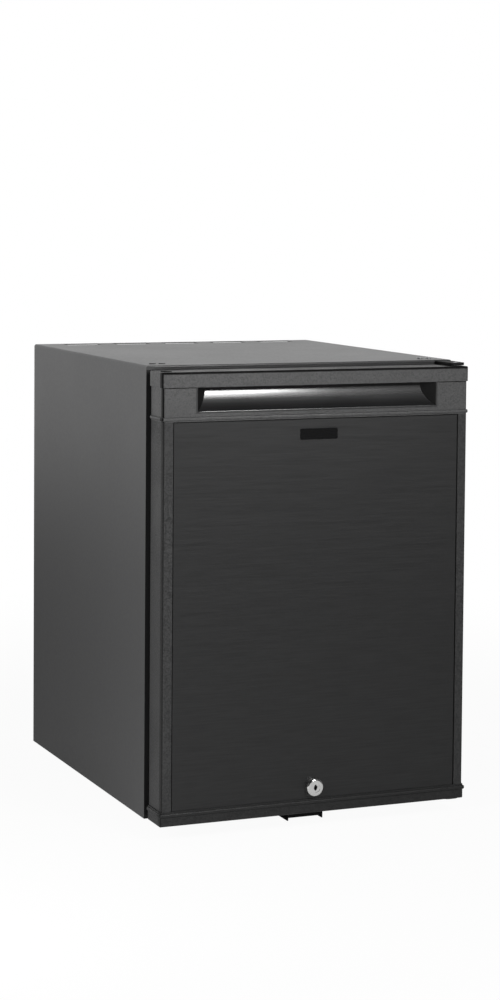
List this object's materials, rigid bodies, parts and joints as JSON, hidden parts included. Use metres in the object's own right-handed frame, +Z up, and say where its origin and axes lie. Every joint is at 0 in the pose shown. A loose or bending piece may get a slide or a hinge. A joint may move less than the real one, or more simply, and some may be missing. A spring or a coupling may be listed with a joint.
{
  "type": "minibar fridge",
  "caption": "Free-standing black minibar fridge: hinged door with a scooped handle, cam lock, door racks, wire shelves, thermostat knob and a rear cooling unit.",
  "frame": {"origin": "on the floor, below the middle of the overall box", "axes": "+Z up, the door faces -Y, +X is the hinge side of the door"},
  "size_m": [0.402, 0.493, 0.5586],
  "materials": {
    "case_paint": "satin",
    "panel_paint": "satin",
    "door_plastic": "satin",
    "gloss_black": "gloss",
    "black_plastic": "matte",
    "foot_rubber": "matte",
    "seal_rubber": "matte",
    "zinc_steel": "satin",
    "unit_paint": "satin",
    "fin_aluminium": "satin",
    "shelf_wire": "satin",
    "white_plastic": "satin",
    "lens": "satin",
    "insulation": "matte",
    "chrome": "polished"
  },
  "bodies": {
    "cabinet": {"outer_case": "case_paint", "base_pan": "case_paint", "rear_wall": "zinc_steel", "cabinet_foam": "insulation", "inner_liner": "white_plastic", "evaporator": "fin_aluminium", "drip_gutter": "white_plastic", "shelf_upper": "shelf_wire", "shelf_lower": "shelf_wire", "control_housing": "white_plastic", "light_lens": "lens", "hinge_plate_top": "case_paint", "hinge_pin_top": "zinc_steel", "hinge_screws_top": "zinc_steel", "hole_plugs_top": "black_plastic", "hinge_plate_bottom": "case_paint", "hinge_pin_bottom": "zinc_steel", "hinge_screws_bottom": "zinc_steel", "lock_strike": "case_paint", "strike_screws": "zinc_steel", "foot_front_left": "foot_rubber", "foot_front_right": "foot_rubber", "foot_rear_left": "foot_rubber", "foot_rear_right": "foot_rubber", "foot_screws": "zinc_steel", "boiler_casing": "unit_paint", "condenser_tube": "unit_paint", "condenser_fins": "fin_aluminium", "absorber_coil": "unit_paint", "absorber_vessel": "unit_paint", "vessel_brackets": "zinc_steel", "solution_pipe": "unit_paint", "unit_straps": "zinc_steel", "junction_box": "black_plastic", "power_inlet": "black_plastic"},
    "door": {"handle_cap": "door_plastic", "handle_scoop": "gloss_black", "bottom_cap": "door_plastic", "stile_left": "door_plastic", "stile_right": "door_plastic", "front_panel": "panel_paint", "badge_plate": "gloss_black", "spare_hinge_plugs": "black_plastic", "door_gasket": "seal_rubber", "door_foam": "insulation", "door_liner": "white_plastic", "rack_lower": "white_plastic", "rack_middle": "white_plastic", "rack_upper": "white_plastic", "hinge_bush_top": "white_plastic", "hinge_bush_bottom": "white_plastic", "lock_barrel": "chrome", "lock_nut": "chrome", "lock_housing": "white_plastic"},
    "lock": {"lock_plug": "chrome", "lock_cam": "zinc_steel", "cam_screw": "zinc_steel"},
    "knob": {"thermostat_knob": "black_plastic"}
  },
  "joints": [
    {"name": "door_hinge", "type": "hinge", "parent": "cabinet", "child": "door", "pos_m": [0.189, -0.2245, 0.2875], "axis": [0, 0, 1], "range_deg": [0, 110]},
    {"name": "lock_turn", "type": "hinge", "parent": "door", "child": "lock", "pos_m": [-0.003, -0.2115, 0.0508], "axis": [0, -1, 0], "range_deg": [0, 90]},
    {"name": "thermostat_turn", "type": "hinge", "parent": "cabinet", "child": "knob", "pos_m": [0.125, -0.1055, 0.511], "axis": [0, 1, 0], "range_deg": [-135, 135]}
  ]
}
